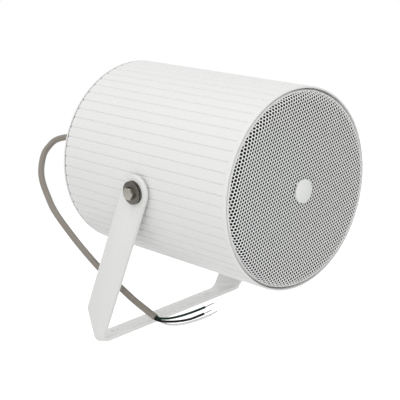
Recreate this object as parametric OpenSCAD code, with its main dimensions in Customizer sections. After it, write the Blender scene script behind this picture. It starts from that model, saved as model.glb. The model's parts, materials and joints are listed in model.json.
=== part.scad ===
/* [Drum] */
// Outer diameter of the drum
drum_d = 172; // [164:1:184]
// Length of the drum from the front rim to the rear face
drum_l = 206.5; // [190:0.5:230]
// Wall of the extruded tube
tube_wall = 3; // [2.5:0.5:3.5]
// Fine grooves round the tube
groove_n = 60; // [40:4:72]
// Width of one groove
groove_w = 1.2; // [0.8:0.1:1.6]
// Depth of one groove
groove_depth = 0.6; // [0.4:0.1:1]
// Radius of the screw channels inside the tube
channel_r = 5.2; // [5:0.1:5.6]
// Thread bore of a screw channel
channel_bore_d = 3.2; // [3:0.1:3.6]

/* [Front] */
// Depth of the bezel inside the tube's end
bezel_l = 6; // [5:0.5:8]
// Radius of the bezel's rounded rim
rim_round = 3.5; // [2.5:0.5:4]
// Wall of the bezel round the grille
bezel_wall = 1; // [0.8:0.1:1.5]
// Thickness of the bezel's inner flange
flange_t = 3; // [2:0.5:4]
// Width of the bezel's inner flange
flange_w = 22; // [20:0.5:24]
// Gap ring between the bezel and the grille
grille_gap = 0.8; // [0.5:0.1:1.5]
// How far the grille stands out of the rim
grille_proud = 4.5; // [3:0.5:6]
// Radius of the grille's shoulder
grille_shoulder_r = 8; // [5:0.5:9]
// Sheet of the grille
grille_t = 1.2; // [0.8:0.1:1.5]
// Diameter of one hole in the grille
grille_hole_d = 5.4; // [4:0.2:6]
// Pitch of the holes in the grille
grille_pitch = 9; // [8:0.5:12]
// Turn of the rows of holes
grille_turn = 38; // [0:1:60]
// Acoustic cloth behind the grille
cloth_t = 0.4; // [0.2:0.1:0.8]
// Diameter of the plain centre badge
badge_d = 20; // [16:1:26]
// Thickness of the badge
badge_t = 2.6; // [1:0.2:3]
// Rivet of the badge
badge_pin_d = 3.6; // [2:0.2:3.8]

/* [Driver] */
// Width of the driver's rim outside the bezel's opening
driver_rim_w = 10; // [8:0.5:11]
// Thickness of the frame's rim
driver_rim_t = 2.5; // [2:0.5:4]
// Depth of the frame behind its rim
driver_depth = 38; // [34:1:44]
// Distance of the driver's screws outside the opening
driver_screw_out = 5; // [4:0.5:6]
// Shank of a driver screw
driver_screw_d = 4; // [3.5:0.5:4.5]
// Seat of the surround inside the opening
seat_w = 4; // [3:0.5:5]
// Width of the surround's roll
roll_w = 5.6; // [4:0.2:8]
// Paper of the cone
cone_t = 0.8; // [0.6:0.1:1.2]
// Diameter of the dust cap
cap_d = 30; // [28:1:36]
// Diameter of the pole piece
pole_d = 24; // [22:1:25]
// Wall of the voice coil and its former
coil_t = 0.6; // [0.4:0.1:0.7]
// Reach of the voice coil behind the spider
coil_reach = 8; // [6:1:9]
// Air gap on each side of the voice coil
coil_gap = 0.5; // [0.4:0.1:0.6]
// Diameter of the top plate and of the back plate
plate_d = 72; // [68:1:78]
// Thickness of the top plate
plate_t = 5; // [4:0.5:7]
// Diameter of the magnet ring
magnet_d = 90; // [80:1:96]
// Thickness of the magnet ring
magnet_t = 15; // [12:1:18]

/* [Rear] */
// Thickness of the rear cover
cover_t = 3; // [2.5:0.5:4]
// Thickness of the rear gasket
gasket_t = 1; // [0.8:0.1:1.5]
// Shank of a case screw
case_screw_d = 2.8; // [2.4:0.1:2.9]
// Length of a case screw under its head
case_screw_l = 14; // [10:1:18]
// Width of the transformer's core
core_w = 48; // [40:1:54]
// Height of the transformer's core
core_h = 40; // [34:1:44]
// Stack of the transformer's core
core_t = 18; // [14:1:22]
// Height of the core's lower edge over the drum's axis
core_lift = 16; // [14:1:20]
// Width of the terminal block
block_w = 36; // [30:1:44]

/* [Pivot] */
// Height of the pivot over the bottom of the base
pivot_h = 132; // [126:1:142]
// Distance of the pivot in front of the middle of the base
pivot_x = 119; // [105:1:125]
// Distance of the pivot behind the front rim
pivot_from_lip = 102.5; // [95:0.5:110]
// Downward tilt of the drum
drum_tilt = 17; // [5:1:25]
// Thread diameter of the pivot bolts
bolt_d = 6; // [5:0.5:8]
// Width across the flats of the bolt's head
bolt_flats = 10; // [8:1:13]
// Height of the bolt's head
bolt_head_h = 4; // [3:0.5:5.5]
// Outer diameter of the large washers
washer_d = 20; // [18:1:24]
// Thickness of one large washer
washer_t = 1.5; // [1:0.1:2]
// Thickness of the spring washer between them
spring_t = 0.8; // [0.5:0.1:1.2]
// Diameter of the threaded insert
insert_d = 14; // [13:0.5:18]
// Gap from the drum to the bracket's arm
arm_gap = 2; // [1.6:0.1:3]

/* [Bracket] */
// Sheet of the bracket
sheet_t = 3; // [2:0.5:4]
// Width of an arm
arm_w = 29; // [26:1:34]
// Depth of the base strip
base_depth = 39; // [36:1:46]
// Inner radius of the two bends
bend_r = 5; // [3:0.5:7]
// Diameter of the three fixing holes
fix_hole_d = 8.5; // [6:0.5:10]
// Distance between neighbouring fixing holes
fix_pitch = 60; // [50:1:62]
// Height of the clipped corner on the arm at the open side
clip_h = 35; // [20:1:45]
// Length of the clipped corner along the base
clip_l = 29; // [15:1:32]
// Width of the fold that the clip leaves
clip_neck = 11; // [9:1:20]

/* [Cable] */
// Diameter of the cable's jacket
cable_d = 6.2; // [5:0.2:7]
// Diameter of one core's insulation
core_d = 2.2; // [1.8:0.1:2.4]
// Diameter of the stripped end of a core
strand_d = 1.2; // [0.8:0.1:1.4]
// Length of the gland outside the cover
gland_l = 24; // [20:1:30]
// Thread diameter of the gland
gland_d = 16; // [12:1:18]

/* [Hidden] */
$fn = 96;
ROUND_FINE = 48;
CLEAR = 0.1;
CUT = 1;

drum_r = drum_d / 2;
tube_in_r = drum_r - tube_wall;
lip_x = pivot_from_lip;
tube_front = lip_x - rim_round;
bezel_x = tube_front - bezel_l;
shelf_x = bezel_x + flange_t;
face_x = lip_x + grille_proud;
grille_h = face_x - shelf_x;
lip_in_r = tube_in_r - bezel_wall;
rear_x = lip_x - drum_l;
cover_in_x = rear_x + cover_t;
tube_x = cover_in_x + gasket_t;
tube_l = tube_front - tube_x;
opening_r = lip_in_r - flange_w;

channel_at = tube_in_r - channel_r + 2 * CLEAR;
channel_angles = [45, 135, 225, 315];
head_r = 3.6;
head_h = 2.2;

grille_r = lip_in_r - grille_gap;
flat_r = grille_r - grille_shoulder_r;
hole_zone = flat_r - grille_hole_d / 2 - 0.5;
hole_rows = ceil(hole_zone / (grille_pitch * sin(60)));
cloth_r = flat_r - 0.5;

basket_r = opening_r + driver_rim_w;
driver_screw_at = opening_r + driver_screw_out;
seat_r = opening_r - seat_w;
roll_out = seat_r + 0.6;
cone_r = roll_out - roll_w;
coil_in_r = pole_d / 2 + coil_gap;
coil_out_r = coil_in_r + coil_t;
plate_bore_r = coil_out_r + coil_gap;
plate_r = plate_d / 2;
magnet_in_r = plate_bore_r + 6;
basket_x = bezel_x - driver_rim_t;
step_x = bezel_x - driver_depth;
top_plate_x = step_x - 2;
magnet_x = top_plate_x - plate_t;
back_x = magnet_x - magnet_t;
throat_x = bezel_x - driver_depth + 14;
screw_angles = [0, 90, 180, 270];

rib_t = 6;
rib_w = 7;
core_x = cover_in_x + rib_t;
leg_w = core_w / 3;
window_w = core_w / 6;
window_h = core_h * 0.6;
coil_over = 4.5;
clip_t = 1.2;
clip_w = 14;
foot_l = 11;
foot_hole = 6;

arm_in_y = drum_r + arm_gap;
arm_out_y = arm_in_y + sheet_t;
insert_y = drum_r + 0.5;
washer_y = arm_out_y;
spring_y = washer_y + washer_t;
outer_y = spring_y + spring_t;
head_y = outer_y + washer_t;
bolt_r = bolt_d / 2;
bore_r = bolt_r + CLEAR / 2;

base_half = base_depth / 2;
arm_len = sqrt(pivot_x * pivot_x + pivot_h * pivot_h);
arm_side = [pivot_h / arm_len, -pivot_x / arm_len] * arm_w / 2;

// Route of the cable from the gland to its end, hand-chosen points
cable_route = [
    [-5, 0, 170], [-15, 0, 173], [-28, 0, 177], [-45, 0, 182], [-60, -1, 187],
    [-73, -3, 190], [-84, -6, 191], [-91, -11, 190], [-94, -17, 186], [-94, -24, 181],
    [-92, -31, 173], [-88, -38, 163], [-81, -44, 152], [-71, -49, 139], [-60, -54, 127],
    [-49, -57, 116], [-37, -59, 104], [-26, -60, 92], [-14, -61, 80], [-1, -62, 68],
    [12, -62, 56], [26, -61, 44], [39, -60, 32], [50, -58, 22], [60, -56, 13]
];
// Routes of the three cores beyond the jacket, and their stripped tips
black_route = [[70, -54, 8.4], [82, -50.5, 7.2], [97, -47, 8], [113, -44, 11.6]];
black_tip = [122, -42, 14];
green_route = [[71, -50, 10], [83, -44, 10.6], [95, -39, 12.6], [106, -35, 15]];
green_tip = [117, -33, 18];
white_route = [[69, -52, 5], [84, -48, 3.6], [101, -43, 5.6], [116, -40, 9]];
white_tip = [125, -38.5, 12];

function unit(v) = v / norm(v);
function tangent(p, i) = unit(p[min(i + 1, len(p) - 1)] - p[max(i - 1, 0)]);

gland_hold = 12;
core_ring = 1.5;
core_start_gap = 0.3;
function gland_point(out) = [
    pivot_x + (rear_x - out) * cos(drum_tilt), 0, pivot_h - (rear_x - out) * sin(drum_tilt)
];
outer_route = concat([gland_point(gland_l)], [for (i = [1:len(cable_route) - 1]) cable_route[i]]);
jacket_end = cable_route[len(cable_route) - 1];
jacket_dir = tangent(smoothed(outer_route), 2 * len(outer_route) - 2);
jacket_u = unit(cross(jacket_dir, [0, 1, 0]));
jacket_v = cross(jacket_dir, jacket_u);
function core_start(turn) =
    jacket_end + (cos(turn) * jacket_u + sin(turn) * jacket_v) * core_ring + core_start_gap * jacket_dir;

// Drum's own frame: origin on the pivot, X forward along the axis
module on_drum() {
    translate([pivot_x, 0, pivot_h])
        rotate([0, drum_tilt, 0])
            children();
}

// Stands a shape that is built along Z on the drum's axis, starting at x
module axial(x) {
    translate([x, 0, 0])
        rotate([0, 90, 0])
            children();
}

// Ring round the drum's axis
module ring(x, l, r_in, r_out) {
    axial(x)
        difference() {
            cylinder(h = l, r = r_out);
            translate([0, 0, -CUT]) cylinder(h = l + 2 * CUT, r = r_in);
        }
}

// Copies round the axis at the given angles and radius
module round_axis(angles, radius) {
    for (a = angles)
        rotate([0, 0, a])
            translate([radius, 0, 0])
                children();
}

// The same shape at the near and the far end of the pivot axis, with Z pointing out
module both_sides() {
    for (side = [-1, 1])
        rotate([side * -90, 0, 0])
            children();
}

module housing_tube() {
    color("whitesmoke")
        on_drum()
            difference() {
                axial(tube_x)
                    linear_extrude(tube_l)
                        difference() {
                            union() {
                                difference() {
                                    circle(r = drum_r);
                                    circle(r = tube_in_r);
                                }
                                round_axis(channel_angles, channel_at)
                                    circle(r = channel_r, $fn = ROUND_FINE);
                            }
                            round_axis(channel_angles, channel_at)
                                circle(d = channel_bore_d, $fn = ROUND_FINE);
                            for (i = [0:groove_n - 1])
                                rotate([0, 0, (i + 0.5) * 360 / groove_n])
                                    translate([drum_r - groove_depth, -groove_w / 2])
                                        square([groove_depth + CUT, groove_w]);
                        }
                axial(bezel_x) cylinder(h = bezel_l + CUT, r = tube_in_r);
                both_sides()
                    translate([0, 0, tube_in_r - CUT - 2])
                        cylinder(h = tube_wall + 2 * CUT + 2, d = insert_d);
            }
}

module front_bezel() {
    plug_r = tube_in_r - CLEAR;
    color("white")
        on_drum()
            axial(bezel_x)
                difference() {
                    rotate_extrude() {
                        polygon([
                            [opening_r, 0], [plug_r, 0], [plug_r, bezel_l], [drum_r - rim_round, bezel_l],
                            [drum_r - rim_round, bezel_l + rim_round], [lip_in_r, bezel_l + rim_round],
                            [lip_in_r, flange_t], [opening_r, flange_t]
                        ]);
                        translate([drum_r - rim_round, bezel_l])
                            intersection() {
                                circle(r = rim_round);
                                square(rim_round + CUT);
                            }
                    }
                    round_axis(channel_angles, channel_at) {
                        translate([0, 0, -CUT])
                            cylinder(h = flange_t + 2 * CUT, d = channel_bore_d, $fn = ROUND_FINE);
                        translate([0, 0, flange_t - head_h])
                            cylinder(h = head_h + CUT, r = head_r, $fn = ROUND_FINE);
                    }
                    round_axis(screw_angles, driver_screw_at)
                        translate([0, 0, -CUT])
                            cylinder(h = flange_t + 2 * CUT, d = driver_screw_d + 2 * CLEAR, $fn = ROUND_FINE);
                }
}

// Screws with a plain round head, pointing along +Z into the case
module case_screw() {
    translate([0, 0, -head_h]) cylinder(h = head_h, r = head_r - CLEAR, $fn = ROUND_FINE);
    cylinder(h = case_screw_l, d = case_screw_d, $fn = ROUND_FINE);
}

module bezel_screws() {
    color("silver")
        on_drum()
            axial(shelf_x - head_h)
                round_axis(channel_angles, channel_at)
                    mirror([0, 0, 1]) case_screw();
}

module grille() {
    color("gainsboro")
        on_drum()
            axial(shelf_x)
                difference() {
                    rotate_extrude() {
                        translate([0, grille_h - grille_t]) square([flat_r, grille_t]);
                        translate([grille_r - grille_t, 0])
                            square([grille_t, grille_h - grille_shoulder_r]);
                        translate([flat_r, grille_h - grille_shoulder_r])
                            intersection() {
                                difference() {
                                    circle(r = grille_shoulder_r);
                                    circle(r = grille_shoulder_r - grille_t);
                                }
                                square(grille_shoulder_r + CUT);
                            }
                    }
                    translate([0, 0, grille_h - grille_t - CUT])
                        rotate([0, 0, grille_turn])
                            grille_holes(grille_t + 2 * CUT);
                }
}

// Staggered rows of round holes inside the flat of the grille
module grille_holes(h) {
    for (row = [-hole_rows:hole_rows], i = [-hole_rows - 1:hole_rows + 1]) {
        x = (i + (row % 2 == 0 ? 0 : 0.5)) * grille_pitch;
        y = row * grille_pitch * sin(60);
        if (norm([x, y]) < hole_zone)
            translate([x, y, 0]) cylinder(h = h, d = grille_hole_d, $fn = 24);
    }
}

module grille_cloth() {
    color("black")
        on_drum()
            axial(face_x - grille_t - cloth_t)
                cylinder(h = cloth_t, r = cloth_r);
}

module grille_badge() {
    badge_r = badge_d / 2;
    edge = 0.8;
    color("gainsboro")
        on_drum()
            axial(face_x) {
                rotate_extrude()
                    polygon([
                        [0, 0], [badge_r, 0], [badge_r, badge_t - edge],
                        [badge_r - edge, badge_t], [0, badge_t]
                    ]);
                translate([0, 0, -grille_t]) cylinder(h = grille_t, d = badge_pin_d, $fn = ROUND_FINE);
            }
}

module driver_basket() {
    wall = 1.5;
    foot_r = plate_r;
    rim_in_r = seat_r;
    window_from = 7;
    window_l = driver_depth - 16;
    spoke_from = foot_r + 3;
    color("dimgray")
        on_drum()
            axial(step_x - 2)
                difference() {
                    rotate_extrude()
                        polygon([
                            [plate_bore_r, 0], [foot_r, 0], [foot_r + 2, 2],
                            [rim_in_r + wall, driver_depth - 2],
                            [basket_r, driver_depth + 2 - driver_rim_t], [basket_r, driver_depth + 2],
                            [rim_in_r, driver_depth + 2], [rim_in_r, driver_depth - 2 + wall],
                            [foot_r, 2], [plate_bore_r, 2]
                        ]);
                    for (i = [0:5])
                        rotate([0, 0, i * 60 - 19])
                            rotate_extrude(angle = 38)
                                translate([spoke_from, window_from]) square([rim_in_r - spoke_from, window_l]);
                    round_axis(screw_angles, driver_screw_at)
                        translate([0, 0, driver_depth - driver_rim_t])
                            cylinder(h = driver_rim_t + 4, d = driver_screw_d + 2 * CLEAR, $fn = ROUND_FINE);
                }
}

module driver_cone() {
    color("black")
        on_drum()
            axial(throat_x)
                rotate_extrude()
                    polygon([
                        [coil_out_r, 0], [cap_d / 2 + 1.4, 0], [cone_r, bezel_x - throat_x - cone_t],
                        [cone_r, bezel_x - throat_x], [cone_r - 1, bezel_x - throat_x],
                        [cap_d / 2 + 0.4, cone_t], [coil_out_r, cone_t]
                    ]);
}

module driver_surround() {
    roll_mid = roll_out - roll_w / 2;
    roll_r = roll_w / 2;
    t = 0.6;
    color("black")
        on_drum()
            axial(bezel_x)
                rotate_extrude() {
                    translate([cone_r - 3, 0]) square([3 + t / 2, t]);
                    translate([roll_out - t / 2, 0]) square([opening_r - CLEAR - roll_out + t / 2, t]);
                    translate([roll_mid, 0])
                        intersection() {
                            difference() {
                                circle(r = roll_r + t / 2, $fn = ROUND_FINE);
                                circle(r = roll_r - t / 2, $fn = ROUND_FINE);
                            }
                            translate([-roll_r - CUT, 0]) square([2 * roll_r + 2 * CUT, roll_r + CUT]);
                        }
                }
}

module dust_cap() {
    cap_r = cap_d / 2;
    rise = cap_r * 0.35;
    ball = (cap_r * cap_r + rise * rise) / (2 * rise);
    t = 0.6;
    color("dimgray")
        on_drum()
            axial(throat_x + cone_t)
                intersection() {
                    translate([0, 0, rise - ball])
                        difference() {
                            sphere(r = ball);
                            sphere(r = ball - t);
                        }
                    cylinder(h = rise + CUT, r = cap_r);
                }
}

module spider() {
    steps = 36;
    t = 0.5;
    wave_h = 1.2;
    rim = plate_r - 1;
    land = 4;
    span = rim - land - coil_out_r;
    function wave(i) = wave_h * (1 - cos(i * 360 * 4 / steps));
    top = [for (i = [0:steps]) [coil_out_r + span * i / steps, t + wave(i)]];
    low = [for (i = [steps:-1:0]) [coil_out_r + span * i / steps, wave(i)]];
    color("goldenrod")
        on_drum()
            axial(step_x)
                rotate_extrude()
                    polygon(concat(top, [[rim, t], [rim, 0]], low));
}

module voice_coil() {
    color("peru")
        on_drum()
            ring(step_x - coil_reach, throat_x - step_x + coil_reach + cone_t, coil_in_r, coil_out_r);
}

module top_plate() {
    color("silver")
        on_drum()
            ring(magnet_x, plate_t, plate_bore_r, plate_r);
}

module magnet_ring() {
    color("dimgray")
        on_drum()
            ring(back_x, magnet_t, magnet_in_r, magnet_d / 2);
}

module pole_piece() {
    color("silver")
        on_drum() {
            axial(back_x - plate_t) cylinder(h = plate_t, r = plate_r);
            axial(back_x) cylinder(h = magnet_t + plate_t, d = pole_d);
        }
}

module driver_screws() {
    color("silver")
        on_drum()
            axial(shelf_x)
                round_axis(screw_angles, driver_screw_at) {
                    cylinder(h = head_h, r = head_r, $fn = ROUND_FINE);
                    translate([0, 0, -flange_t - driver_rim_t - 5])
                        cylinder(h = flange_t + driver_rim_t + 5, d = driver_screw_d, $fn = ROUND_FINE);
                }
}

module rear_gasket() {
    color("black")
        on_drum()
            axial(cover_in_x)
                difference() {
                    cylinder(h = gasket_t, r = drum_r - groove_depth);
                    translate([0, 0, -CUT]) cylinder(h = gasket_t + 2 * CUT, r = channel_at - channel_r - 1);
                    round_axis(channel_angles, channel_at)
                        translate([0, 0, -CUT])
                            cylinder(h = gasket_t + 2 * CUT, d = channel_bore_d, $fn = ROUND_FINE);
                }
}

module rear_cover() {
    edge = 1.5;
    color("whitesmoke")
        on_drum()
            difference() {
                union() {
                    axial(rear_x)
                        rotate_extrude()
                            polygon([
                                [0, 0], [drum_r - edge, 0], [drum_r, edge], [drum_r, cover_t], [0, cover_t]
                            ]);
                    for (side = [-1, 1])
                        translate([cover_in_x, side * (core_w - rib_w) / 2 - rib_w / 2, core_lift])
                            cube([rib_t, rib_w, core_h]);
                }
                axial(rear_x - CUT) {
                    round_axis(channel_angles, channel_at)
                        cylinder(h = cover_t + 2 * CUT, d = channel_bore_d, $fn = ROUND_FINE);
                    cylinder(h = cover_t + 2 * CUT, d = gland_d + 2 * CLEAR, $fn = ROUND_FINE);
                }
            }
}

module rear_screws() {
    color("silver")
        on_drum()
            axial(rear_x)
                round_axis(channel_angles, channel_at)
                    case_screw();
}

module transformer_core() {
    color("slategray")
        on_drum()
            translate([core_x, -core_w / 2, core_lift])
                difference() {
                    cube([core_t, core_w, core_h]);
                    for (side = [-1, 1])
                        translate([
                            -CUT, core_w / 2 + side * (leg_w + window_w) / 2 - window_w / 2, (core_h - window_h) / 2
                        ])
                            cube([core_t + 2 * CUT, window_w, window_h]);
                }
}

module transformer_coil() {
    color("darkgoldenrod")
        on_drum()
            translate([core_x - coil_over, 0, core_lift + core_h / 2])
                difference() {
                    translate([0, -leg_w / 2 - window_w + 0.2, -window_h / 2 + 0.2])
                        cube([core_t + 2 * coil_over, leg_w + 2 * window_w - 0.4, window_h - 0.4]);
                    translate([coil_over - CLEAR, -leg_w / 2 - CLEAR, -window_h / 2])
                        cube([core_t + 2 * CLEAR, leg_w + 2 * CLEAR, window_h]);
                }
}

// One hooked clip each side holds the core to the rear cover
module transformer_clips() {
    tab = 4;
    y = core_w / 2 + CLEAR;
    z = core_lift + core_h / 2 - clip_w / 2;
    color("silver")
        on_drum()
            for (side = [0, 1])
                mirror([0, side, 0])
                    difference() {
                        union() {
                            translate([cover_in_x, y, z])
                                cube([core_x - cover_in_x + core_t + clip_t, clip_t, clip_w]);
                            translate([cover_in_x, y, z]) cube([clip_t, foot_l, clip_w]);
                            translate([core_x + core_t, y - tab, z]) cube([clip_t, tab + clip_t, clip_w]);
                        }
                        translate([cover_in_x - CUT, y + foot_hole, z + clip_w / 2])
                            rotate([0, 90, 0])
                                cylinder(h = clip_t + 2 * CUT, d = channel_bore_d, $fn = ROUND_FINE);
                    }
}

module clip_screws() {
    screw_h = 1.6;
    color("silver")
        on_drum()
            for (side = [-1, 1])
                translate([cover_in_x, side * (core_w / 2 + CLEAR + foot_hole), core_lift + core_h / 2])
                    rotate([0, 90, 0]) {
                        translate([0, 0, clip_t]) cylinder(h = screw_h, r = 2.6, $fn = ROUND_FINE);
                        cylinder(h = clip_t, d = case_screw_d, $fn = ROUND_FINE);
                    }
}

module terminal_block() {
    block_h = 14;
    block_t = 12;
    ways = 3;
    color("ivory")
        on_drum()
            translate([cover_in_x, -block_w / 2, -core_lift - block_h - 12])
                difference() {
                    cube([block_t, block_w, block_h]);
                    for (i = [0:ways - 1])
                        translate([block_t / 2, block_w * (i + 0.5) / ways, block_h / 2]) {
                            rotate([0, 90, 0]) cylinder(h = block_t, d = 4.4, $fn = ROUND_FINE);
                            translate([0, 0, -block_h]) cylinder(h = 2 * block_h, d = 3, $fn = ROUND_FINE);
                        }
                }
}

// Threaded inserts in the tube's wall, with a shoulder inside
module pivot_inserts() {
    shoulder_t = 3;
    color("silver")
        on_drum()
            both_sides()
                difference() {
                    union() {
                        translate([0, 0, tube_in_r - shoulder_t - 2])
                            cylinder(h = shoulder_t, d = insert_d + 6, $fn = 6);
                        translate([0, 0, tube_in_r - 2 - CLEAR])
                            cylinder(h = insert_y - tube_in_r + 2 + CLEAR, d = insert_d - 2 * CLEAR);
                    }
                    translate([0, 0, tube_in_r - shoulder_t - 2 - CUT])
                        cylinder(h = insert_y, r = bore_r, $fn = ROUND_FINE);
                }
}

// A flat ring round the pivot axis, on both sides, from y outwards
module side_rings(y, t, r) {
    both_sides()
        translate([0, 0, y])
            difference() {
                cylinder(h = t, r = r, $fn = ROUND_FINE);
                translate([0, 0, -CUT]) cylinder(h = t + 2 * CUT, r = bore_r, $fn = ROUND_FINE);
            }
}

module friction_washers() {
    color("black")
        on_drum() side_rings(insert_y, arm_in_y - insert_y, washer_d / 2 + 1);
}

module inner_washers() {
    color("silver")
        on_drum() side_rings(washer_y, washer_t, washer_d / 2);
}

module spring_washers() {
    color("gray")
        on_drum() side_rings(spring_y, spring_t, washer_d / 2 - 2);
}

module outer_washers() {
    color("silver")
        on_drum() side_rings(outer_y, washer_t, washer_d / 2);
}

module pivot_bolts() {
    tip_y = tube_in_r - 8;
    chamfer = 0.8;
    color("silver")
        on_drum()
            both_sides() {
                translate([0, 0, tip_y]) cylinder(h = head_y - tip_y, r = bolt_r, $fn = ROUND_FINE);
                translate([0, 0, head_y])
                    intersection() {
                        cylinder(h = bolt_head_h, d = bolt_flats / cos(30), $fn = 6);
                        rotate_extrude()
                            polygon([
                                [0, 0], [bolt_flats / cos(30) / 2 + chamfer, 0],
                                [bolt_flats / cos(30) / 2 + chamfer, bolt_head_h - 2 * chamfer],
                                [bolt_flats / 2, bolt_head_h], [0, bolt_head_h]
                            ]);
                    }
            }
}

// Side view of one arm: upright from the base strip, then leaning to the pivot
module arm_outline() {
    polygon([
        [-base_half, 0], [base_half, 0], [base_half, sheet_t],
        [pivot_x + arm_side[0], pivot_h + arm_side[1]],
        [pivot_x - arm_side[0], pivot_h - arm_side[1]],
        [-base_half, sheet_t]
    ]);
    translate([pivot_x, pivot_h]) circle(d = arm_w);
}

// Cross-section of the folded sheet, seen along X
module fold_section() {
    turn_r = bend_r + sheet_t;
    for (side = [0, 1])
        mirror([side, 0]) {
            translate([arm_in_y, turn_r]) square([sheet_t, pivot_h + arm_w - turn_r]);
            translate([arm_out_y - turn_r, turn_r])
                intersection() {
                    difference() {
                        circle(r = turn_r);
                        circle(r = bend_r);
                    }
                    translate([0, -turn_r - CUT]) square(turn_r + CUT);
                }
        }
}

module bracket() {
    fold_y = arm_out_y - bend_r - sheet_t;
    sweep = pivot_x + arm_w + base_depth;
    rear_edge_x = -base_half + (clip_h - sheet_t) * pivot_x / pivot_h;
    color("whitesmoke")
        difference() {
            union() {
                translate([-base_half, -fold_y, 0]) cube([base_depth, 2 * fold_y, sheet_t]);
                intersection() {
                    translate([-base_depth, 0, 0])
                        rotate([90, 0, 90])
                            linear_extrude(sweep) fold_section();
                    translate([0, arm_out_y + CUT, 0])
                        rotate([90, 0, 0])
                            linear_extrude(2 * (arm_out_y + CUT)) arm_outline();
                }
            }
            for (i = [-1:1])
                translate([0, i * fix_pitch, -CUT]) cylinder(h = sheet_t + 2 * CUT, d = fix_hole_d);
            translate([pivot_x, arm_out_y + CUT, pivot_h])
                rotate([90, 0, 0])
                    cylinder(h = 2 * (arm_out_y + CUT), r = bore_r, $fn = ROUND_FINE);
            translate([0, -fold_y, 0])
                rotate([90, 0, 0])
                    linear_extrude(bend_r + sheet_t + CUT)
                        polygon([
                            [base_half - clip_neck, -CUT], [base_half - clip_neck, 0], [rear_edge_x, clip_h],
                            [rear_edge_x - base_depth, clip_h], [-base_depth, -CUT]
                        ]);
            translate([0, 0, -CUT])
                linear_extrude(sheet_t + 2 * CUT)
                    polygon([
                        [base_half - clip_neck, -arm_out_y - CUT], [base_half - clip_neck, -fold_y],
                        [-base_half, -arm_out_y + clip_l], [-base_half - CUT, -arm_out_y + clip_l],
                        [-base_half - CUT, -arm_out_y - CUT]
                    ]);
        }
}

module cable_gland() {
    hex_t = 5;
    bore = cable_d / 2 + 3 * CLEAR;
    neck_r = bore + 1;
    color("dimgray")
        on_drum()
            axial(rear_x) {
                translate([0, 0, -hex_t]) cylinder(h = hex_t, d = gland_d + 8, $fn = 6);
                cylinder(h = cover_t + 7, d = gland_d, $fn = ROUND_FINE);
                translate([0, 0, -gland_l])
                    rotate_extrude()
                        polygon([
                            [bore, 0], [neck_r, 0], [neck_r + 1.2, 7], [gland_d / 2 + 1, 11],
                            [gland_d / 2 + 1, gland_l - hex_t], [0, gland_l - hex_t],
                            [0, gland_hold], [bore, gland_hold]
                        ]);
            }
}

module gland_nut() {
    color("dimgray")
        on_drum()
            axial(cover_in_x)
                difference() {
                    cylinder(h = 5, d = gland_d + 8, $fn = 6);
                    translate([0, 0, -CUT]) cylinder(h = 5 + 2 * CUT, d = gland_d + 2 * CLEAR, $fn = ROUND_FINE);
                }
}

// Smooth curve through the points of a route, with one more point inside each step
function smoothed(p) = let (last = len(p) - 1) [
    for (i = [0:last - 1])
        let (a = p[max(i - 1, 0)], b = p[i], c = p[i + 1], d = p[min(i + 2, last)])
            each [b, (9 * (b + c) - a - d) / 16],
    p[last]
];

// Round tube along a list of points: one ring at each, in its own plane
module swept_tube(path, d, sides = 8) {
    count = len(path);
    points = [
        for (i = [0:count - 1])
            let (t = tangent(path, i), u = unit(cross(t, [0, 1, 0])), v = cross(t, u))
                for (k = [0:sides - 1])
                    path[i] + (cos(k * 360 / sides) * u + sin(k * 360 / sides) * v) * d / 2
    ];
    walls = [
        for (i = [0:count - 2], k = [0:sides - 1])
            let (a = i * sides + k, b = i * sides + (k + 1) % sides)
                each [[a, b, b + sides], [a, b + sides, a + sides]]
    ];
    start = [for (k = [sides - 1:-1:0]) k];
    end = [for (k = [0:sides - 1]) (count - 1) * sides + k];
    polyhedron(points = points, faces = concat(walls, [start, end]));
}

module cable() {
    color("dimgray") swept_tube(concat([gland_point(gland_l - gland_hold)], smoothed(outer_route)), cable_d);
}

// A core with its bare copper end, slimmer than the insulation
module core_wire(turn, route, tip) {
    start = core_start(turn);
    path = smoothed(concat([start, start + 3 * jacket_dir], route));
    swept_tube(path, core_d);
    swept_tube([path[len(path) - 1], tip], strand_d);
}

module core_black() {
    color("black") core_wire(90, black_route, black_tip);
}

module core_green() {
    color("darkgreen") core_wire(330, green_route, green_tip);
}

module core_white() {
    color("white") core_wire(210, white_route, white_tip);
}

housing_tube();
front_bezel();
bezel_screws();
grille();
grille_cloth();
grille_badge();
driver_basket();
driver_cone();
driver_surround();
dust_cap();
spider();
voice_coil();
top_plate();
magnet_ring();
pole_piece();
driver_screws();
rear_gasket();
rear_cover();
rear_screws();
transformer_core();
transformer_coil();
transformer_clips();
clip_screws();
terminal_block();
pivot_inserts();
friction_washers();
bracket();
inner_washers();
spring_washers();
outer_washers();
pivot_bolts();
cable_gland();
gland_nut();
cable();
core_black();
core_green();
core_white();
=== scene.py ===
# Projection speaker: finishes, fine grille, grooved drum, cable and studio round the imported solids.
# Lengths are in metres in the part's own frame; sizes written in millimetres are multiplied by MM.
import json
import math

import bmesh
import bpy
from mathutils import Matrix, Vector


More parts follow.
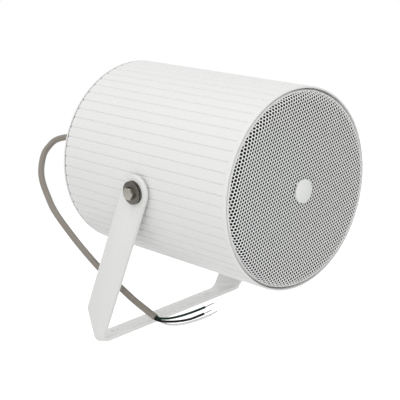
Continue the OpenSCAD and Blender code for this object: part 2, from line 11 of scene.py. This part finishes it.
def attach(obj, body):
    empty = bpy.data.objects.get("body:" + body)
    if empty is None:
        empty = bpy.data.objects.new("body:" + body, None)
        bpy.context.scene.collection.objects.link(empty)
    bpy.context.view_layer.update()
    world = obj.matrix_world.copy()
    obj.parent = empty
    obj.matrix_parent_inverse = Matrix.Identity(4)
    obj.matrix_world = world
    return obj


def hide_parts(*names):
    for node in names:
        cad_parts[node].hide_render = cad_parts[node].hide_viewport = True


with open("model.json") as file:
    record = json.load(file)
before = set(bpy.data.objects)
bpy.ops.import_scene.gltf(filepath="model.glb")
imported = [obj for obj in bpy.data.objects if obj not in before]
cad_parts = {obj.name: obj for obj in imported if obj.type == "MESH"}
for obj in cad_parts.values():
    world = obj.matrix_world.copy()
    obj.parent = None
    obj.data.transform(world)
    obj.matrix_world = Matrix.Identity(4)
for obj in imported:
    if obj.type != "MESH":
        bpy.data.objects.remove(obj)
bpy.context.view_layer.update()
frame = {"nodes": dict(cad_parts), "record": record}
scene = bpy.context.scene

MM = 0.001

# The drum's front and skin, in millimetres; a place along the axis is measured forward from the pivot.
DRUM_R = 86
DRUM_BACK = -100
DRUM_FRONT = 99
RIM_FRONT = 102.5
RIM_R = 84.4
RIM_ROUND = 1.2
RIM_BREAK = 0.3
PLUG_R = 85
PLUG_BACK = 93
OPENING_R = 60
GRILLE_R = 83.2
GRILLE_SEAT = 96
GRILLE_FACE = 107
SHOULDER = 8
HOLE_PITCH = 3
HOLE_R = 1.25
SHEET_T = 0.4
CLOTH_INSET = 1.3
CLOTH_LIFT = 0.2
CLOTH_FLAT_R = 40
CLOTH_LIP = 0.7

# The grille's plain edge starts at this lean of its shoulder, in degrees, and laps over the last holes.
EDGE_LEAN = 62
EDGE_LAP = 8
EDGE_INSET = 0.08
EDGE_T = 0.52

# The cable and its cores, in millimetres.
CABLE_D = 6.2
CORE_D = 2.2
CORE_RING = 1.5
CORE_GAP = 0.3
CORE_LEAD = 3
STRAND_R = 0.19
STRAND_RING = 0.4
GLAND_BACK = -128
JACKET_START = -116

# The drum hangs on the pivot, nose down.
# FACE stands on the drum's axis: X to the far side, Y up, Z out of the grille.
PIVOT = Vector((0.119, 0, 0.132))
DRUM = Matrix.Translation(PIVOT) @ Matrix.Rotation(math.radians(17), 4, "Y")
FACE = DRUM @ Matrix(((0, 0, 1, 0), (1, 0, 0, 0), (0, 1, 0, 0), (0, 0, 0, 1)))


# Node trees
class Wire:
    """One socket of a node tree; arithmetic on it adds Math nodes."""

    def __init__(self, board, socket):
        self.board = board
        self.socket = socket

    def _math(self, operation, first, second):
        return self.board.node("ShaderNodeMath", {"operation": operation}, first, second)

    def __add__(self, other):
        return self._math("ADD", self, other)

    def __radd__(self, other):
        return self._math("ADD", other, self)

    def __sub__(self, other):
        return self._math("SUBTRACT", self, other)

    def __rsub__(self, other):
        return self._math("SUBTRACT", other, self)

    def __mul__(self, other):
        return self._math("MULTIPLY", self, other)

    def __rmul__(self, other):
        return self._math("MULTIPLY", other, self)

    def __truediv__(self, other):
        return self._math("DIVIDE", self, other)

    def __rtruediv__(self, other):
        return self._math("DIVIDE", other, self)

    def __mod__(self, other):
        return self._math("MODULO", self, other)

    def __gt__(self, other):
        return self._math("GREATER_THAN", self, other)

    def __abs__(self):
        return self._math("ABSOLUTE", self, 0)

    def __neg__(self):
        return 0 - self


class Board:
    """Places nodes in one tree. Values and wires go in by place or by the input's name."""

    def __init__(self, tree):
        self.tree = tree

    def node(self, kind, settings=None, *values, named=None, out=0):
        made = self.tree.nodes.new(kind)
        for key, value in (settings or {}).items():
            setattr(made, key, value)
        for key, value in list(enumerate(values)) + list((named or {}).items()):
            self.feed(made.inputs[key], value)
        if out is None:
            return made
        return Wire(self, made.outputs[out])

    def feed(self, entry, value):
        if isinstance(value, Wire):
            self.tree.links.new(value.socket, entry)
        elif value is not None:
            if entry.type == "RGBA" and len(value) == 3:
                value = (*value, 1)
            entry.default_value = value

    def function(self, operation, value, second=0.0, third=0.0):
        return self.node("ShaderNodeMath", {"operation": operation}, value, second, third)

    def split(self, vector):
        made = self.node("ShaderNodeSeparateXYZ", None, vector, out=None)
        return [Wire(self, made.outputs[i]) for i in range(3)]

    def join(self, x, y, z):
        return self.node("ShaderNodeCombineXYZ", None, x, y, z)


class Finish(Board):
    """A Principled material whose patterns sit on the object's own coordinates."""

    def __init__(self, name, **fixed):
        self.material = bpy.data.materials.new(name)
        self.material.use_nodes = True
        super().__init__(self.material.node_tree)
        self.shader = next(n for n in self.tree.nodes if n.type == "BSDF_PRINCIPLED")
        for key, value in fixed.items():
            self.put(key.replace("_", " ").title(), value)
        self.where = self.node("ShaderNodeTexCoord", out="Object")

    def put(self, entry, value):
        self.feed(self.shader.inputs[entry], value)

    def noise(self, scale, detail=2.0, rough=0.5, stretch=None):
        place = self.where
        if stretch:
            place = self.node("ShaderNodeMapping", None, place, named={"Scale": stretch})
        sizes = {"Vector": place, "Scale": scale, "Detail": detail, "Roughness": rough}
        return self.node("ShaderNodeTexNoise", None, named=sizes)

    def blend(self, first, second, share):
        made = self.node("ShaderNodeMix", {"data_type": "RGBA"}, out=None)
        for place, value in ((0, share), (6, first), (7, second)):
            self.feed(made.inputs[place], value)
        return Wire(self, made.outputs[2])

    def bump(self, height, depth):
        raised = self.node("ShaderNodeBump", None, named={"Height": height, "Distance": depth})
        self.put("Normal", raised)


def shade(colour, k):
    return tuple(min(1, c * k) for c in colour)


def powder_coat(name, colour, peel=700, roughness=0.42):
    """Baked powder paint: faint orange peel, slow mottling in gloss, a touch of dust in the tone."""
    paint = Finish(name)
    mottle = paint.noise(18, 3)
    dust = paint.noise(240, 4, 0.65)
    tone = 0.6 * mottle + 0.4 * dust
    paint.put("Base Color", paint.blend(shade(colour, 0.975), shade(colour, 1.015), tone))
    paint.put("Roughness", roughness + 0.16 * (mottle - 0.5) + 0.06 * dust)
    paint.bump(paint.noise(peel, 2) + 0.4 * dust, 0.00003)
    return paint.material


def bright_steel(name, colour, roughness=0.3, brush=(1, 1, 14)):
    """Rolled or turned steel: fine brushing one way and soft handling marks."""
    metal = Finish(name, metallic=1.0)
    lines = metal.noise(900, 3, 0.6, brush)
    marks = metal.noise(60, 4, 0.6)
    tone = 0.5 * lines + 0.5 * marks
    metal.put("Base Color", metal.blend(shade(colour, 0.8), shade(colour, 1.15), tone))
    metal.put("Roughness", roughness + 0.2 * (marks - 0.4) + 0.1 * lines)
    metal.bump(lines, 0.00002)
    return metal.material


def moulded(name, colour, roughness=0.5, grain=1500, depth=0.00003, spread=0.12, gloss=0.5):
    """Moulded plastic or rubber: fine eroded grain, slightly uneven tone."""
    body = Finish(name)
    body.put("Specular IOR Level", gloss)
    tone = body.noise(45, 3)
    texture = body.noise(grain, 3, 0.6)
    body.put("Base Color", body.blend(shade(colour, 1 - spread), shade(colour, 1 + spread), tone))
    body.put("Roughness", roughness + 0.18 * (texture - 0.5))
    body.bump(texture, depth)
    return body.material


def woven(name, colour, pitch=0.0006):
    """Open woven cloth: two crossed sets of threads, each going over and under."""
    cloth = Finish(name, roughness=0.95)
    x, y, z = cloth.split(cloth.where)
    turns = 2 * math.pi / pitch
    warp = cloth.function("SINE", y * turns)
    weft = cloth.function("SINE", z * turns)
    height = 0.5 + 0.25 * warp + 0.25 * weft
    # The tone follows the thread height: painted shade in the hollows where threads go under, painted
    # highlight on the crossings.
    cloth.put("Base Color", cloth.blend(shade(colour, 0.4), shade(colour, 1.3), height))
    cloth.bump(height, 0.0001)
    return cloth.material


def pressed_paper(name, colour):
    """Pressed pulp: short fibres and a rough felted face."""
    pulp = Finish(name)
    fibre = pulp.noise(420, 6, 0.7, (1, 4, 1))
    pulp.put("Base Color", pulp.blend(shade(colour, 0.7), shade(colour, 1.5), fibre))
    pulp.put("Roughness", 0.75 + 0.2 * fibre)
    pulp.bump(fibre, 0.0001)
    return pulp.material


def sintered(name, colour):
    """Ferrite or laminated iron: dull, pitted, with faint layers."""
    iron = Finish(name, metallic=0.3)
    pits = iron.noise(500, 5, 0.7)
    layers = iron.noise(300, 2, 0.5, (6, 1, 1))
    tone = 0.5 * pits + 0.5 * layers
    iron.put("Base Color", iron.blend(shade(colour, 0.7), shade(colour, 1.3), tone))
    iron.put("Roughness", 0.6 + 0.25 * pits)
    iron.bump(pits, 0.00006)
    return iron.material


def wound_copper(name, colour):
    """Enamelled copper: rows of fine turns."""
    coil = Finish(name, metallic=0.85)
    x, y, z = coil.split(coil.where)
    rows = 0.5 + 0.5 * coil.function("SINE", (x + 0.3 * z) * 9000)
    # The tone follows the turns' relief: painted shade in the grooves between turns, painted highlight
    # on their crowns.
    coil.put("Base Color", coil.blend(shade(colour, 0.6), shade(colour, 1.2), rows))
    coil.put("Roughness", 0.3 + 0.2 * (1 - rows))
    coil.bump(rows, 0.0001)
    return coil.material


FINISHES = {
    "drum_paint": powder_coat("drum_paint", (0.785, 0.785, 0.778)),
    "grille_paint": powder_coat("grille_paint", (0.87, 0.875, 0.865), 900, 0.4),
    "bracket_paint": powder_coat("bracket_paint", (0.79, 0.79, 0.775), 600, 0.45),
    "badge_paint": powder_coat("badge_paint", (0.80, 0.81, 0.79), 800, 0.5),
    "cloth": woven("cloth", (0.012, 0.012, 0.012)),
    "stainless": bright_steel("stainless", (0.36, 0.35, 0.31), 0.2),
    "washer_steel": bright_steel("washer_steel", (0.125, 0.118, 0.106), 0.25, (14, 1, 1)),
    "spring_steel": bright_steel("spring_steel", (0.05, 0.05, 0.048), 0.35),
    "zinc_screw": bright_steel("zinc_screw", (0.55, 0.55, 0.54), 0.32),
    "pole_steel": bright_steel("pole_steel", (0.5, 0.5, 0.48), 0.35, (1, 8, 1)),
    "frame_steel": powder_coat("frame_steel", (0.03, 0.03, 0.03), 900, 0.5),
    "paper": pressed_paper("paper", (0.02, 0.02, 0.02)),
    "surround_rubber": moulded("surround_rubber", (0.015, 0.015, 0.015), 0.55),
    "cap_fabric": woven("cap_fabric", (0.03, 0.03, 0.03), 0.0005),
    "spider_fabric": woven("spider_fabric", (0.42, 0.27, 0.08), 0.0008),
    "copper": wound_copper("copper", (0.62, 0.27, 0.13)),
    "ferrite": sintered("ferrite", (0.05, 0.05, 0.05)),
    "core_steel": sintered("core_steel", (0.16, 0.17, 0.18)),
    "terminal_plastic": moulded("terminal_plastic", (0.72, 0.69, 0.6), 0.4, spread=0.04),
    "gasket_rubber": moulded("gasket_rubber", (0.03, 0.03, 0.03), 0.7),
    "washer_nylon": moulded("washer_nylon", (0.025, 0.025, 0.025), 0.45),
    "gland_nylon": moulded("gland_nylon", (0.55, 0.55, 0.54), 0.42, spread=0.04),
    "jacket": moulded("jacket", (0.245, 0.22, 0.19), 0.5, 900, 0.00004),
    "insulation_black": moulded("insulation_black", (0.004, 0.004, 0.005), 0.4, 2500, gloss=0.15),
    "insulation_green": moulded("insulation_green", (0.004, 0.03, 0.019), 0.4, 2500, gloss=0.15),
    "insulation_white": moulded("insulation_white", (0.86, 0.86, 0.85), 0.4, 2500, spread=0.02),
}
NODE_SLOT = {entry["node"]: entry["material_slot"] for entry in frame["record"]["subparts"]}
BODIES = frame["record"]["behaviour"]["bodies"]
NODE_BODY = {node_name: body for body, members in BODIES.items() for node_name in members}

for node_name, solid in frame["nodes"].items():
    finish = FINISHES[NODE_SLOT[node_name]]
    if not solid.material_slots:
        solid.data.materials.append(finish)
    for held in solid.material_slots:
        held.material = finish


# Pieces
def add_piece(name, mesh, body, slot, *stands_for):
    mesh.name = name
    mesh.materials.clear()
    mesh.materials.append(FINISHES[slot])
    made = bpy.data.objects.new(name, mesh)
    scene.collection.objects.link(made)
    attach(made, body)
    if stands_for:
        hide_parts(*stands_for)
    return made


def dressed(node_name, edge=0.25):
    """A CAD node with its triangles joined, its sharp edges broken and its curves shaded smooth."""
    bm = bmesh.new()
    bm.from_mesh(frame["nodes"][node_name].data)
    bmesh.ops.remove_doubles(bm, verts=bm.verts, dist=1e-6)
    bmesh.ops.dissolve_limit(bm, angle_limit=math.radians(0.6), verts=bm.verts, edges=bm.edges)
    if edge:
        sharp = [e for e in bm.edges if e.is_manifold and e.calc_face_angle(0) > math.radians(38)]
        bmesh.ops.bevel(
            bm, geom=sharp, offset=edge * MM, segments=2, profile=0.5, affect="EDGES", clamp_overlap=True
        )
    for face in bm.faces:
        face.smooth = True
    mesh = bpy.data.meshes.new(node_name + "_dressed")
    bm.to_mesh(mesh)
    bm.free()
    mesh.set_sharp_from_angle(angle=math.radians(40))
    return add_piece(
        node_name + "_dressed", mesh, NODE_BODY[node_name], NODE_SLOT[node_name], node_name
    )


def turned(name, profile, slot, *stands_for):
    """A revolved piece of the head; its profile is (radius, place along the axis) in millimetres."""
    segments = 192
    bm = bmesh.new()
    rings = []
    for radius, along in profile:
        if radius == 0:
            rings.append([bm.verts.new((0, 0, along * MM))] * segments)
        else:
            rings.append([
                bm.verts.new((
                    radius * MM * math.cos(2 * math.pi * i / segments),
                    radius * MM * math.sin(2 * math.pi * i / segments),
                    along * MM,
                ))
                for i in range(segments)
            ])
    for low, high in zip(rings, rings[1:]):
        for i in range(segments):
            j = (i + 1) % segments
            corners = list(dict.fromkeys((low[i], low[j], high[j], high[i])))
            if len(corners) > 2:
                bm.faces.new(corners).smooth = True
    bmesh.ops.remove_doubles(bm, verts=bm.verts, dist=1e-6)
    bmesh.ops.recalc_face_normals(bm, faces=bm.faces)
    mesh = bpy.data.meshes.new(name)
    bm.to_mesh(mesh)
    bm.free()
    mesh.set_sharp_from_angle(angle=math.radians(40))
    mesh.transform(FACE)
    return add_piece(name, mesh, "head", slot, *stands_for)


def grown(name, build, sizes, slot):
    """Runs a tree of Geometry Nodes with named sizes and returns its result as a plain mesh."""
    tree = bpy.data.node_groups.new(name, "GeometryNodeTree")
    board = Board(tree)
    entries = {}
    for label, value in sizes.items():
        kind = "NodeSocketInt" if isinstance(value, int) else "NodeSocketFloat"
        entries[label] = tree.interface.new_socket(label, in_out="INPUT", socket_type=kind)
    tree.interface.new_socket("Mesh", in_out="OUTPUT", socket_type="NodeSocketGeometry")
    start = tree.nodes.new("NodeGroupInput")
    made = build(board, {label: Wire(board, start.outputs[label]) for label in sizes})
    made = board.node("GeometryNodeRealizeInstances", None, made)
    made = board.node("GeometryNodeSetMaterial", None, made, named={"Material": FINISHES[slot]})
    board.feed(tree.nodes.new("NodeGroupOutput").inputs["Mesh"], made)
    host = bpy.data.objects.new(name, bpy.data.meshes.new(name))
    scene.collection.objects.link(host)
    modifier = host.modifiers.new(name, "NODES")
    modifier.node_group = tree
    for label, value in sizes.items():
        modifier[entries[label].identifier] = value
    bpy.context.view_layer.update()
    finished = host.evaluated_get(bpy.context.evaluated_depsgraph_get())
    mesh = bpy.data.meshes.new_from_object(finished)
    host.modifiers.remove(modifier)
    bpy.data.objects.remove(host)
    return mesh


def perforated_sheet(board, size):
    """Six-sided cells with a round hole each, in staggered rows, drawn over the grille's shoulder."""
    pitch, hole, sheet = size["Pitch"], size["Hole Radius"], size["Sheet"]
    ring = board.node(
        "GeometryNodeMeshCircle", {"fill_type": "NONE"}, named={"Vertices": 12, "Radius": hole}
    )
    ring = board.node(
        "GeometryNodeTransform", None, ring, named={"Translation": board.join(0, 0, -sheet)}
    )
    wall = board.node(
        "GeometryNodeExtrudeMesh", {"mode": "EDGES"}, ring,
        named={"Offset": board.join(0, 0, 1), "Offset Scale": sheet}, out=None,
    )
    land = board.node(
        "GeometryNodeExtrudeMesh", {"mode": "EDGES"}, Wire(board, wall.outputs["Mesh"]),
        named={
            "Selection": Wire(board, wall.outputs["Top"]),
            "Offset": board.join(0, 0, 1),
            "Offset Scale": 0.0,
        },
        out=None,
    )
    x, y, z = board.split(board.node("GeometryNodeInputPosition"))
    angle = board.function("ARCTAN2", y, x)
    sixth = board.function("WRAP", angle, math.radians(30), math.radians(-30))
    reach = 0.5 * pitch / board.function("COSINE", sixth)
    outline = board.join(
        reach * board.function("COSINE", angle), reach * board.function("SINE", angle), z
    )
    cell = board.node(
        "GeometryNodeSetPosition", None, Wire(board, land.outputs["Mesh"]),
        named={"Selection": Wire(board, land.outputs["Top"]), "Position": outline},
    )

    count = size["Rows"]
    row_step = pitch * math.sin(math.radians(60))
    wide, high = (count - 1) * pitch, (count - 1) * row_step
    field = board.node("GeometryNodeMeshGrid", None, wide, high, count, count)
    x, y, z = board.split(board.node("GeometryNodeInputPosition"))
    odd = abs(board.function("ROUND", y / row_step)) % 2
    field = board.node(
        "GeometryNodeSetPosition", None, field,
        named={"Position": board.join(x + 0.5 * pitch * odd, y, z)},
    )
    place = board.node("GeometryNodeInputPosition")
    away = board.node("ShaderNodeVectorMath", {"operation": "LENGTH"}, place, out="Value")
    field = board.node("GeometryNodeDeleteGeometry", {"domain": "POINT"}, field, away > size["Zone"])
    cells = board.node("GeometryNodeInstanceOnPoints", None, field, named={"Instance": cell})
    cells = board.node(
        "GeometryNodeTransform", None,
        board.node("GeometryNodeRealizeInstances", None, cells),
        named={"Rotation": board.join(0, 0, size["Turn"])},
    )
    cells = board.node("GeometryNodeMergeByDistance", None, cells, named={"Distance": 0.00002})

    x, y, z = board.split(board.node("GeometryNodeInputPosition"))
    flat, shoulder = size["Flat Radius"], size["Shoulder"]
    radius = board.function("SQRT", x * x + y * y)
    over = board.function("MAXIMUM", radius - flat, 0.0) / shoulder
    rise, lean = board.function("COSINE", over), board.function("SINE", over)
    ring_r = board.function("MINIMUM", radius, flat) + (shoulder + z) * lean
    scale = ring_r / board.function("MAXIMUM", radius, 1e-6)
    depth = size["Face"] - shoulder + (shoulder + z) * rise
    bent = board.join(x * scale, y * scale, depth)
    return board.node("GeometryNodeSetPosition", None, cells, named={"Position": bent})


def grooved_skin(board, size):
    """One strip of the drum's wall with its groove, repeated all round the axis."""
    radius, count = size["Radius"], size["Grooves"]
    strip = board.node("GeometryNodeMeshGrid", None, 2.0, 1.0, 33, 2)
    x, y, z = board.split(board.node("GeometryNodeInputPosition"))
    girth = x * abs(x) * (math.pi * radius / count)
    half, soft = 0.5 * size["Groove Width"], 0.5 * size["Edge"]
    sunk = board.node(
        "ShaderNodeMapRange", {"interpolation_type": "SMOOTHSTEP"},
        abs(girth), half - soft, half + soft, size["Groove Depth"], 0.0,
    )
    across, away = girth / radius, radius - sunk
    along = size["Back"] + (y + 0.5) * size["Length"]
    strip = board.node(
        "GeometryNodeSetPosition", None, strip,
        named={"Position": board.join(
            away * board.function("COSINE", across), away * board.function("SINE", across), along
        )},
    )
    stand = board.node("GeometryNodeMeshLine", None, count, named={"Offset": (0, 0, 0)})
    turn = (board.node("GeometryNodeInputIndex") + 0.5) * (2 * math.pi / count)
    strips = board.node(
        "GeometryNodeInstanceOnPoints", None, stand,
        named={"Instance": strip, "Rotation": board.join(0, 0, turn)},
    )
    skin = board.node("GeometryNodeRealizeInstances", None, strips)
    skin = board.node("GeometryNodeMergeByDistance", None, skin, named={"Distance": 0.000005})
    return board.node("GeometryNodeSetShadeSmooth", None, skin)


def outwards(mesh, seen):
    """Points the faces of an open shell the way that the function seen asks of one of them."""
    bm = bmesh.new()
    bm.from_mesh(mesh)
    bmesh.ops.recalc_face_normals(bm, faces=bm.faces)
    votes = sum(1 if seen(f) > 0 else -1 for f in bm.faces if abs(seen(f)) > 0.5)
    if votes < 0:
        bmesh.ops.reverse_faces(bm, faces=bm.faces)
    bm.to_mesh(mesh)
    bm.free()
    return mesh


sheet_mesh = outwards(
    grown("perforated_sheet", perforated_sheet, {
        "Pitch": HOLE_PITCH * MM,
        "Hole Radius": HOLE_R * MM,
        "Sheet": SHEET_T * MM,
        "Rows": 69,
        "Zone": (GRILLE_R - SHOULDER + SHOULDER * math.radians(EDGE_LEAN + EDGE_LAP)) * MM,
        "Turn": math.radians(8),
        "Flat Radius": (GRILLE_R - SHOULDER) * MM,
        "Shoulder": SHOULDER * MM,
        "Face": GRILLE_FACE * MM,
    }, "grille_paint"),
    lambda face: face.normal.z,
)
sheet_mesh.transform(FACE)
add_piece("grille_sheet", sheet_mesh, "head", "grille_paint", "grille")

skin_mesh = outwards(
    grown("drum_skin", grooved_skin, {
        "Radius": DRUM_R * MM,
        "Grooves": 60,
        "Groove Width": 1.2 * MM,
        "Groove Depth": 0.7 * MM,
        "Edge": 0.4 * MM,
        "Back": DRUM_BACK * MM,
        "Length": (DRUM_FRONT - DRUM_BACK) * MM,
    }, "drum_paint"),
    lambda face: face.normal.xy.dot(face.calc_center_median().xy.normalized()),
)
skin_mesh.transform(FACE)
add_piece("drum_skin", skin_mesh, "head", "drum_paint", "housing_tube")


def arc(centre_r, centre_x, bend, start, end, steps):
    """Points of a profile round a centre; 0 degrees looks forward and 90 degrees outwards."""
    return [
        (centre_r + bend * math.sin(a), centre_x + bend * math.cos(a))
        for a in (math.radians(start + (end - start) * i / steps) for i in range(steps + 1))
    ]


def shoulder_arc(inset, start, end):
    """Points over the grille's shoulder, at that depth under its face."""
    return arc(GRILLE_R - SHOULDER, GRILLE_FACE - SHOULDER, SHOULDER - inset, start, end, 8)


edge_inner = EDGE_INSET + EDGE_T
edge_face = shoulder_arc(EDGE_INSET, EDGE_LEAN, 90)
turned(
    "grille_edge",
    edge_face
    + [(GRILLE_R - EDGE_INSET, GRILLE_SEAT), (GRILLE_R - edge_inner, GRILLE_SEAT)]
    + shoulder_arc(edge_inner, 90, EDGE_LEAN)
    + edge_face[:1],
    "grille_paint",
)

cloth_face = GRILLE_FACE - CLOTH_INSET
cloth_r = GRILLE_R - CLOTH_INSET
cloth_foot = GRILLE_SEAT + CLOTH_LIFT
turned(
    "grille_backing",
    [(0, cloth_face), (CLOTH_FLAT_R, cloth_face)]
    + shoulder_arc(CLOTH_INSET, 0, 90)
    + [(cloth_r, cloth_foot), (cloth_r - CLOTH_LIP, cloth_foot)],
    "cloth", "grille_cloth",
)

plug_foot = (PLUG_R, PLUG_BACK)
turned(
    "front_rim",
    [plug_foot, (PLUG_R, DRUM_FRONT), (DRUM_R, DRUM_FRONT)]
    + arc(DRUM_R - RIM_ROUND, RIM_FRONT - RIM_ROUND, RIM_ROUND, 90, 0, 6)
    + [(RIM_R + RIM_BREAK, RIM_FRONT), (RIM_R, RIM_FRONT - RIM_BREAK), (RIM_R, GRILLE_SEAT)]
    + [(OPENING_R, GRILLE_SEAT), (OPENING_R, PLUG_BACK), plug_foot],
    NODE_SLOT["front_bezel"], "front_bezel",
)

for node_name, edge in (
    ("rear_cover", 0.4), ("bracket", 0.45), ("grille_badge", 0.0),
    ("pivot_bolts", 0.2), ("inner_washers", 0.2), ("outer_washers", 0.2), ("spring_washers", 0.1),
    ("friction_washers", 0.15), ("cable_gland", 0.25), ("rear_screws", 0.3), ("rear_gasket", 0.0),
):
    dressed(node_name, edge)


# Cable
def smoothed(points):
    """One more point inside each step of a route, on a smooth curve through its points."""
    last = len(points) - 1
    result = []
    for i in range(last):
        a, b, c, d = points[max(i - 1, 0)], points[i], points[i + 1], points[min(i + 2, last)]
        result += [b, (9 * (b + c) - a - d) / 16]
    return result + [points[last]]


def length_of(points):
    return sum((b - a).length for a, b in zip(points, points[1:]))


def tube_mesh(name, points, radius, sides):
    """A round tube along points, with its frame carried on from ring to ring."""
    bm = bmesh.new()
    rings = []
    side = None
    for i, point in enumerate(points):
        run = (points[min(i + 1, len(points) - 1)] - points[max(i - 1, 0)]).normalized()
        side = (side - run * side.dot(run) if side else run.orthogonal()).normalized()
        up = run.cross(side)
        rings.append([
            bm.verts.new(point + radius * (math.cos(a) * side + math.sin(a) * up))
            for a in (2 * math.pi * k / sides for k in range(sides))
        ])
    for low, high in zip(rings, rings[1:]):
        for k in range(sides):
            j = (k + 1) % sides
            bm.faces.new((low[k], low[j], high[j], high[k])).smooth = True
    bm.faces.new(rings[0][::-1])
    bm.faces.new(rings[-1])
    bmesh.ops.recalc_face_normals(bm, faces=bm.faces)
    mesh = bpy.data.meshes.new(name)
    bm.to_mesh(mesh)
    bm.free()
    mesh.set_sharp_from_angle(angle=math.radians(40))
    return mesh


def on_axis(x):
    return DRUM @ Vector((x * MM, 0, 0))


GLAND_END = on_axis(GLAND_BACK)
CABLE_ROUTE = [GLAND_END] + [Vector(p) * MM for p in (
    (-15, 0, 173), (-28, 0, 177), (-45, 0, 182), (-60, -1, 187),
    (-73, -3, 190), (-84, -6, 191), (-91, -11, 190), (-94, -17, 186), (-94, -24, 181),
    (-92, -31, 173), (-88, -38, 163), (-81, -44, 152), (-71, -49, 139), (-60, -54, 127),
    (-49, -57, 116), (-37, -59, 104), (-26, -60, 92), (-14, -61, 80), (-1, -62, 68),
    (12, -62, 56), (26, -61, 44), (39, -60, 32), (50, -58, 22), (60, -56, 13),
)]
jacket_line = [on_axis(JACKET_START)] + smoothed(CABLE_ROUTE)
jacket_dir = (jacket_line[-1] - jacket_line[-2]).normalized()
jacket_u = jacket_dir.cross(Vector((0, 1, 0))).normalized()
jacket_v = jacket_dir.cross(jacket_u)

CORES = (
    ("black", 90, ((70, -54, 8.4), (82, -50.5, 7.2), (97, -47, 8), (113, -44, 11.6)), (122, -42, 14)),
    ("green", 330, ((71, -50, 10), (83, -44, 10.6), (95, -39, 12.6), (106, -35, 15)), (117, -33, 18)),
    ("white", 210, ((69, -52, 5), (84, -48, 3.6), (101, -43, 5.6), (116, -40, 9)), (125, -38.5, 12)),
)


def strands(name, start, tip):
    """Seven bare tinned strands with a slight twist, six round one."""
    run = (tip - start).normalized()
    side = run.orthogonal().normalized()
    up = run.cross(side)
    whole = bmesh.new()
    for k in range(7):
        ring = 0 if k == 6 else STRAND_RING * MM
        reach = (tip - start) * (1 - 0.03 * (k % 3))
        line = []
        for i in range(9):
            t = i / 8
            a = 2 * math.pi * (k / 6 + 0.35 * t)
            line.append(start + reach * t + ring * (math.cos(a) * side + math.sin(a) * up))
        strand = tube_mesh(name, line, STRAND_R * MM, 6)
        whole.from_mesh(strand)
        bpy.data.meshes.remove(strand)
    mesh = bpy.data.meshes.new(name)
    whole.to_mesh(mesh)
    whole.free()
    return add_piece(name, mesh, "head", "zinc_screw")


core_cords = []
for colour, turn, route, tip in CORES:
    a = math.radians(turn)
    away = CORE_RING * MM * (math.cos(a) * jacket_u + math.sin(a) * jacket_v)
    start = jacket_line[-1] + away + CORE_GAP * MM * jacket_dir
    lead = start + CORE_LEAD * MM * jacket_dir
    line = smoothed([start, lead] + [Vector(p) * MM for p in route])
    core = add_piece(
        f"core_{colour}_wire", tube_mesh(f"core_{colour}_wire", smoothed(line), CORE_D * MM / 2, 12),
        "head", f"insulation_{colour}", f"core_{colour}",
    )
    bare = strands(f"core_{colour}_strands", line[-1], Vector(tip) * MM)
    core_cords.append((core, line, bare))

jacket = add_piece(
    "cable_jacket", tube_mesh("cable_jacket", smoothed(jacket_line), CABLE_D * MM / 2, 20),
    "head", "jacket", "cable",
)
length_of(jacket_line)
for core, line, bare in core_cords:
    length_of(line)


# Studio
def plain_white(name, tone, own_light):
    """Pale surface that shows its own tone to the camera and to gloss, and keeps shadows."""
    material = bpy.data.materials.new(name)
    material.use_nodes = True
    board = Board(material.node_tree)
    shader = next(n for n in board.tree.nodes if n.type == "BSDF_PRINCIPLED")
    board.feed(shader.inputs["Base Color"], (tone, tone, tone))
    shader.inputs["Roughness"].default_value = 0.9
    shader.inputs["Emission Color"].default_value = (1, 1, 1, 1)
    rays = board.node("ShaderNodeLightPath", out=None)
    seen = Wire(board, rays.outputs["Is Camera Ray"]) + Wire(board, rays.outputs["Is Glossy Ray"])
    board.feed(shader.inputs["Emission Strength"], seen * own_light)
    return material


FLOOR_Z = -0.3
FLOOR_HALF = 6
corners = [(x * FLOOR_HALF, y * FLOOR_HALF, FLOOR_Z) for x, y in ((-1, -1), (1, -1), (1, 1), (-1, 1))]
floor_mesh = bpy.data.meshes.new("floor")
floor_mesh.from_pydata(corners, [], [(0, 1, 2, 3)])
floor_mesh.materials.append(plain_white("floor", 0.8, 0.6))
floor = bpy.data.objects.new("floor", floor_mesh)
scene.collection.objects.link(floor)

world = bpy.data.worlds.new("studio")
scene.world = world
world.use_nodes = True
sky = Board(world.node_tree)
background = next(n for n in sky.tree.nodes if n.type == "BACKGROUND")
background.inputs["Color"].default_value = (1, 1, 1, 1)
paths = sky.node("ShaderNodeLightPath", out=None)
direct = sky.function(
    "MINIMUM",
    Wire(sky, paths.outputs["Is Camera Ray"]) + Wire(sky, paths.outputs["Is Glossy Ray"])
    + Wire(sky, paths.outputs["Is Transmission Ray"]),
    1.0,
)
AMBIENT = 0.78
sky.feed(background.inputs["Strength"], AMBIENT + (1 - AMBIENT) * direct)


def softbox(name, place, aim, size, power):
    lamp = bpy.data.lights.new(name, "AREA")
    lamp.shape = "DISK"
    lamp.size = size
    lamp.energy = power
    made = bpy.data.objects.new(name, lamp)
    scene.collection.objects.link(made)
    made.location = place
    made.rotation_euler = (Vector(aim) - Vector(place)).to_track_quat("-Z", "Y").to_euler()


softbox("top_light", (0.3, -0.5, 1.7), (0.1, 0, 0.15), 1.0, 4.5)
softbox("front_light", (1.2, -1.0, 0.5), (0.15, 0, 0.1), 0.8, 4.5)

camera_data = bpy.data.cameras.new("photo_camera")
camera_data.lens = 101.04
camera_data.sensor_width = 36
camera_data.clip_start = 0.01
camera = bpy.data.objects.new("photo_camera", camera_data)
eye = Vector((0.8607, -0.6678, 0.18733))
right = Vector((0.65195, 0.71965, -0.23889)).normalized()
look = Vector((-0.75177, 0.65459, -0.0797)).normalized()
up = right.cross(look)
camera.matrix_world = Matrix((
    (right.x, up.x, -look.x, eye.x),
    (right.y, up.y, -look.y, eye.y),
    (right.z, up.z, -look.z, eye.z),
    (0, 0, 0, 1),
))
scene.collection.objects.link(camera)
scene.camera = camera
scene.view_settings.view_transform = "Standard"
